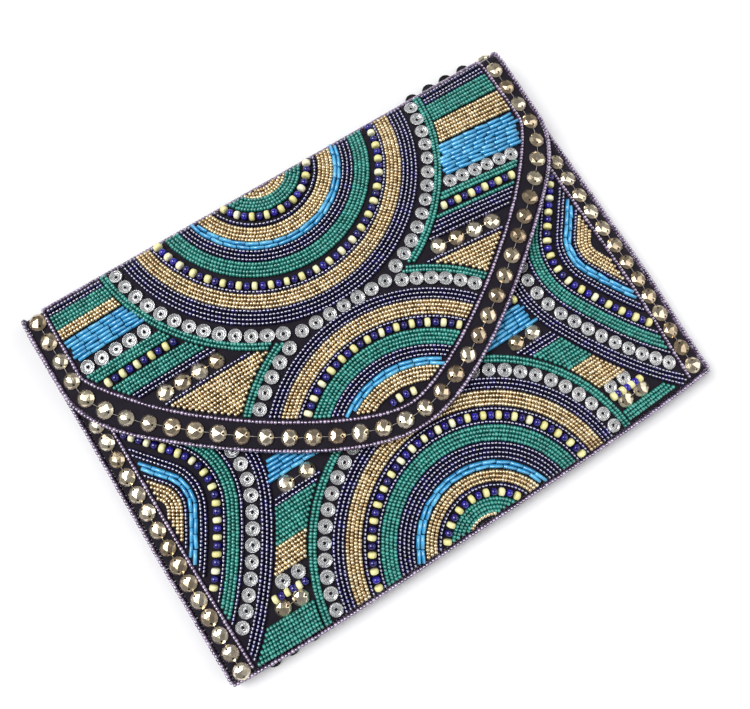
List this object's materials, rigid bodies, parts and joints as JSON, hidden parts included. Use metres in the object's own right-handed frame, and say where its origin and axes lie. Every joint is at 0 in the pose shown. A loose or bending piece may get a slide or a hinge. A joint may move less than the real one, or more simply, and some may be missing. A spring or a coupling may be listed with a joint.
{
  "type": "beaded envelope clutch purse",
  "caption": "Flat envelope clutch with a curved flap over a lined pocket, covered in glass beadwork medallions and stripes; the flap folds back over a rolled fold.",
  "frame": {"origin": "centre of the box around the purse in X and Y, on the back face in Z", "axes": "+X along the fold, +Y towards the fold, +Z out of the front"},
  "size_m": [0.296, 0.215, 0.0256],
  "materials": {
    "outer_cloth": "near-black plain weave",
    "greyboard": "plain board",
    "satin_lining": "satin",
    "teal_beads": "opaque lustre glass seed beads",
    "gold_beads": "metallic gold glass seed beads",
    "navy_beads": "silver-lined navy glass seed beads",
    "lilac_beads": "clear lilac glass seed beads",
    "faceted_studs": "faceted champagne-gold foiled acrylic",
    "bugle_beads": "sky-blue silver-lined glass bugle beads",
    "large_beads": "opaque cream-yellow and cobalt 6/0 glass beads",
    "clear_cups": "clear acrylic cup sequins",
    "snap_metal": "polished",
    "magnet": "sintered, coated"
  },
  "bodies": {
    "body": {"back_outer_cloth": "outer_cloth", "back_stiffener": "greyboard", "back_lining": "satin_lining", "slip_pocket": "satin_lining", "back_medallion_top": "teal_beads", "back_medallion_bottom": "teal_beads", "back_stripes_left": "gold_beads", "back_stripes_right": "gold_beads", "back_border_left": "navy_beads", "back_border_right": "navy_beads", "front_lining": "satin_lining", "front_stiffener": "greyboard", "front_outer_cloth": "outer_cloth", "front_mouth_binding": "outer_cloth", "front_medallion_bottom": "teal_beads", "front_medallion_left": "teal_beads", "front_medallion_right": "teal_beads", "front_stripes_left": "gold_beads", "front_stripes_right": "gold_beads", "front_stud_border_left": "faceted_studs", "front_stud_border_right": "faceted_studs", "seam_beading_left": "lilac_beads", "seam_beading_right": "lilac_beads", "seam_beading_bottom": "lilac_beads", "snap_socket_cap": "snap_metal", "snap_magnet": "magnet"},
    "spine": {"spine_outer_cloth": "outer_cloth", "spine_lining": "satin_lining", "spine_beadwork": "teal_beads", "spine_edge_beading_left": "lilac_beads", "spine_edge_beading_right": "lilac_beads"},
    "flap": {"flap_lining": "satin_lining", "flap_stiffener": "greyboard", "flap_outer_cloth": "outer_cloth", "flap_edge_beading": "lilac_beads", "flap_medallion_top": "teal_beads", "flap_medallion_centre": "teal_beads", "flap_stripes_left": "gold_beads", "flap_stripes_right": "gold_beads", "flap_stud_border": "faceted_studs", "snap_stud": "snap_metal"}
  },
  "joints": [
    {"name": "fold_lower", "type": "hinge", "parent": "body", "child": "spine", "pos_m": [0, 0.10495, 0.00255], "axis": [-1, 0, 0], "range_deg": [0, 85]},
    {"name": "fold_upper", "type": "hinge", "parent": "spine", "child": "flap", "pos_m": [0, 0.10495, 0.01515], "axis": [-1, 0, 0], "range_deg": [0, 85]}
  ],
  "couplings": [
    {"joint": "fold_lower", "follows": "fold_upper", "ratio": 1}
  ]
}
